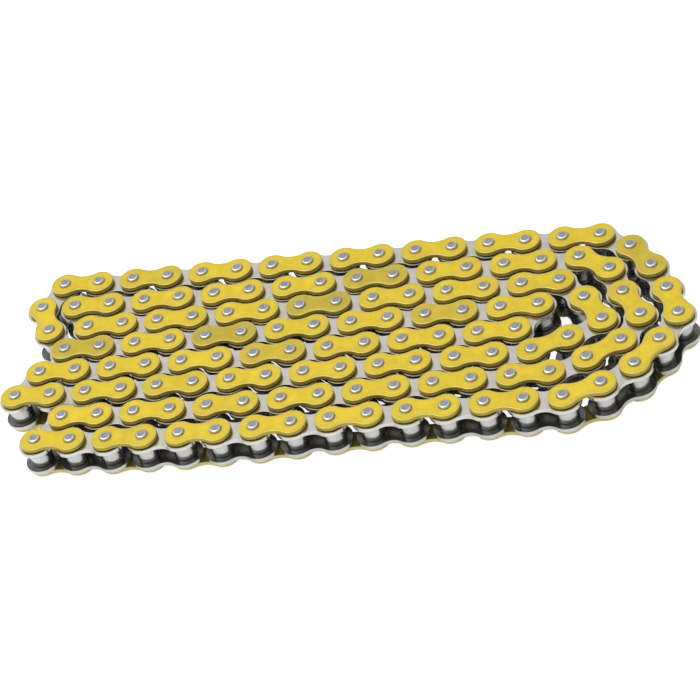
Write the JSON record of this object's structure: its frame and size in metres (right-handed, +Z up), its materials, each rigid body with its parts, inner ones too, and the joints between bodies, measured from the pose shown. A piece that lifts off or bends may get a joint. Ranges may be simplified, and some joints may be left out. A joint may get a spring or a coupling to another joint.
{
  "type": "motorcycle drive chain",
  "caption": "Closed roller chain for a motorcycle, lying on its side in a tight coil of rows, with gold-painted outer plates, steel inner plates, riveted pins and polished rollers.",
  "frame": {"origin": "under the middle of the coil, on the surface that the chain lies on", "axes": "+X to the right along the rows, +Y from the front row to the back row, +Z up along the pins"},
  "size_m": [0.2366, 0.0896, 0.0147],
  "materials": {
    "gold_paint": "satin golden-yellow paint",
    "plate_steel": "satin nickel-grey steel",
    "pin_steel": "ground steel with a bright riveted edge",
    "bush_steel": "ground steel",
    "roller_steel": "polished"
  },
  "bodies": {
    "coil": {"coil_outer_plates_upper": "gold_paint", "coil_outer_plates_lower": "gold_paint", "coil_inner_plates_upper": "plate_steel", "coil_inner_plates_lower": "plate_steel", "coil_pins": "pin_steel", "coil_bushes": "bush_steel", "coil_rollers": "roller_steel"},
    "second_row": {"second_row_outer_plates_upper": "gold_paint", "second_row_outer_plates_lower": "gold_paint", "second_row_inner_plates_upper": "plate_steel", "second_row_inner_plates_lower": "plate_steel", "second_row_pins": "pin_steel", "second_row_bushes": "bush_steel", "second_row_rollers": "roller_steel"},
    "front_row": {"front_row_outer_plates_upper": "gold_paint", "front_row_outer_plates_lower": "gold_paint", "front_row_inner_plates_upper": "plate_steel", "front_row_inner_plates_lower": "plate_steel", "front_row_pins": "pin_steel", "front_row_bushes": "bush_steel"},
    "front_row_roller_01": {"front_row_roller_01": "roller_steel"},
    "front_row_roller_02": {"front_row_roller_02": "roller_steel"},
    "front_row_roller_03": {"front_row_roller_03": "roller_steel"},
    "front_row_roller_04": {"front_row_roller_04": "roller_steel"},
    "front_row_roller_05": {"front_row_roller_05": "roller_steel"},
    "front_row_roller_06": {"front_row_roller_06": "roller_steel"},
    "front_row_roller_07": {"front_row_roller_07": "roller_steel"},
    "front_row_roller_08": {"front_row_roller_08": "roller_steel"},
    "front_row_roller_09": {"front_row_roller_09": "roller_steel"},
    "front_row_roller_10": {"front_row_roller_10": "roller_steel"},
    "front_row_roller_11": {"front_row_roller_11": "roller_steel"},
    "front_row_roller_12": {"front_row_roller_12": "roller_steel"},
    "front_row_roller_13": {"front_row_roller_13": "roller_steel"},
    "front_row_roller_14": {"front_row_roller_14": "roller_steel"},
    "front_row_roller_15": {"front_row_roller_15": "roller_steel"},
    "front_row_roller_16": {"front_row_roller_16": "roller_steel"},
    "middle_turn_link": {"middle_turn_link_plate_upper": "plate_steel", "middle_turn_link_plate_lower": "plate_steel", "middle_turn_link_bushes": "bush_steel"},
    "middle_turn_link_roller_rear": {"middle_turn_link_roller_rear": "roller_steel"},
    "middle_turn_link_roller_front": {"middle_turn_link_roller_front": "roller_steel"},
    "hairpin_link": {"hairpin_link_plate_upper": "plate_steel", "hairpin_link_plate_lower": "plate_steel", "hairpin_link_bushes": "bush_steel"},
    "hairpin_link_roller_rear": {"hairpin_link_roller_rear": "roller_steel"},
    "hairpin_link_roller_front": {"hairpin_link_roller_front": "roller_steel"},
    "turn_outer_link": {"turn_outer_link_plate_upper": "gold_paint", "turn_outer_link_plate_lower": "gold_paint", "turn_outer_link_pins": "pin_steel"},
    "turn_inner_link": {"turn_inner_link_plate_upper": "plate_steel", "turn_inner_link_plate_lower": "plate_steel", "turn_inner_link_bushes": "bush_steel"},
    "turn_inner_link_roller_rear": {"turn_inner_link_roller_rear": "roller_steel"},
    "turn_inner_link_roller_front": {"turn_inner_link_roller_front": "roller_steel"}
  },
  "joints": [
    {"name": "middle_turn_swing", "type": "hinge", "parent": "coil", "child": "middle_turn_link", "pos_m": [0.10017, -0.00152, 0.00732], "axis": [0, 0, 1], "range_deg": [0, 54]},
    {"name": "second_row_follow", "type": "hinge", "parent": "middle_turn_link", "child": "second_row", "pos_m": [0.09441, -0.01284, 0.00732], "axis": [0, 0, 1], "range_deg": [-54, 0]},
    {"name": "turn_inner_link_follow", "type": "hinge", "parent": "coil", "child": "turn_inner_link", "pos_m": [0.11249, -0.00251, 0.00732], "axis": [0, 0, 1], "range_deg": [0, 54]},
    {"name": "hairpin_swing", "type": "hinge", "parent": "second_row", "child": "hairpin_link", "pos_m": [-0.09317, -0.02671, 0.00732], "axis": [0, 0, 1], "range_deg": [0, 68]},
    {"name": "front_row_follow", "type": "hinge", "parent": "hairpin_link", "child": "front_row", "pos_m": [-0.10081, -0.03685, 0.00732], "axis": [0, 0, 1], "range_deg": [-68, 0]},
    {"name": "turn_outer_link_follow", "type": "hinge", "parent": "front_row", "child": "turn_outer_link", "pos_m": [0.09908, -0.02397, 0.00732], "axis": [0, 0, 1], "range_deg": [0, 68]},
    {"name": "front_row_roller_spin_01", "type": "hinge", "parent": "front_row", "child": "front_row_roller_01", "pos_m": [-0.08814, -0.03774, 0.00732], "axis": [0, 0, 1], "continuous": true},
    {"name": "front_row_roller_spin_02", "type": "hinge", "parent": "front_row", "child": "front_row_roller_02", "pos_m": [-0.07546, -0.03838, 0.00732], "axis": [0, 0, 1], "continuous": true},
    {"name": "front_row_roller_spin_03", "type": "hinge", "parent": "front_row", "child": "front_row_roller_03", "pos_m": [-0.06276, -0.03879, 0.00732], "axis": [0, 0, 1], "continuous": true},
    {"name": "front_row_roller_spin_04", "type": "hinge", "parent": "front_row", "child": "front_row_roller_04", "pos_m": [-0.05007, -0.03896, 0.00732], "axis": [0, 0, 1], "continuous": true},
    {"name": "front_row_roller_spin_05", "type": "hinge", "parent": "front_row", "child": "front_row_roller_05", "pos_m": [-0.03737, -0.0389, 0.00732], "axis": [0, 0, 1], "continuous": true},
    {"name": "front_row_roller_spin_06", "type": "hinge", "parent": "front_row", "child": "front_row_roller_06", "pos_m": [-0.02467, -0.03859, 0.00732], "axis": [0, 0, 1], "continuous": true},
    {"name": "front_row_roller_spin_07", "type": "hinge", "parent": "front_row", "child": "front_row_roller_07", "pos_m": [-0.01198, -0.03804, 0.00732], "axis": [0, 0, 1], "continuous": true},
    {"name": "front_row_roller_spin_08", "type": "hinge", "parent": "front_row", "child": "front_row_roller_08", "pos_m": [0.0007, -0.03743, 0.00732], "axis": [0, 0, 1], "continuous": true},
    {"name": "front_row_roller_spin_09", "type": "hinge", "parent": "front_row", "child": "front_row_roller_09", "pos_m": [0.01339, -0.03692, 0.00732], "axis": [0, 0, 1], "continuous": true},
    {"name": "front_row_roller_spin_10", "type": "hinge", "parent": "front_row", "child": "front_row_roller_10", "pos_m": [0.02609, -0.03651, 0.00732], "axis": [0, 0, 1], "continuous": true},
    {"name": "front_row_roller_spin_11", "type": "hinge", "parent": "front_row", "child": "front_row_roller_11", "pos_m": [0.03878, -0.0362, 0.00732], "axis": [0, 0, 1], "continuous": true},
    {"name": "front_row_roller_spin_12", "type": "hinge", "parent": "front_row", "child": "front_row_roller_12", "pos_m": [0.05148, -0.036, 0.00732], "axis": [0, 0, 1], "continuous": true},
    {"name": "front_row_roller_spin_13", "type": "hinge", "parent": "front_row", "child": "front_row_roller_13", "pos_m": [0.06418, -0.0359, 0.00732], "axis": [0, 0, 1], "continuous": true},
    {"name": "front_row_roller_spin_14", "type": "hinge", "parent": "front_row", "child": "front_row_roller_14", "pos_m": [0.07688, -0.0359, 0.00732], "axis": [0, 0, 1], "continuous": true},
    {"name": "front_row_roller_spin_15", "type": "hinge", "parent": "front_row", "child": "front_row_roller_15", "pos_m": [0.08874, -0.03134, 0.00732], "axis": [0, 0, 1], "continuous": true},
    {"name": "front_row_roller_spin_16", "type": "hinge", "parent": "front_row", "child": "front_row_roller_16", "pos_m": [0.09908, -0.02397, 0.00732], "axis": [0, 0, 1], "continuous": true},
    {"name": "middle_turn_link_roller_spin_rear", "type": "hinge", "parent": "middle_turn_link", "child": "middle_turn_link_roller_rear", "pos_m": [0.10017, -0.00152, 0.00732], "axis": [0, 0, 1], "continuous": true},
    {"name": "middle_turn_link_roller_spin_front", "type": "hinge", "parent": "middle_turn_link", "child": "middle_turn_link_roller_front", "pos_m": [0.09441, -0.01284, 0.00732], "axis": [0, 0, 1], "continuous": true},
    {"name": "hairpin_link_roller_spin_rear", "type": "hinge", "parent": "hairpin_link", "child": "hairpin_link_roller_rear", "pos_m": [-0.09317, -0.02671, 0.00732], "axis": [0, 0, 1], "continuous": true},
    {"name": "hairpin_link_roller_spin_front", "type": "hinge", "parent": "hairpin_link", "child": "hairpin_link_roller_front", "pos_m": [-0.10081, -0.03685, 0.00732], "axis": [0, 0, 1], "continuous": true},
    {"name": "turn_inner_link_roller_spin_rear", "type": "hinge", "parent": "turn_inner_link", "child": "turn_inner_link_roller_rear", "pos_m": [0.11249, -0.00251, 0.00732], "axis": [0, 0, 1], "continuous": true},
    {"name": "turn_inner_link_roller_spin_front", "type": "hinge", "parent": "turn_inner_link", "child": "turn_inner_link_roller_front", "pos_m": [0.10672, -0.01383, 0.00732], "axis": [0, 0, 1], "continuous": true}
  ],
  "couplings": [
    {"joint": "second_row_follow", "follows": "middle_turn_swing", "ratio": -1},
    {"joint": "turn_inner_link_follow", "follows": "middle_turn_swing", "ratio": 1},
    {"joint": "front_row_follow", "follows": "hairpin_swing", "ratio": -1},
    {"joint": "turn_outer_link_follow", "follows": "hairpin_swing", "ratio": 1}
  ]
}
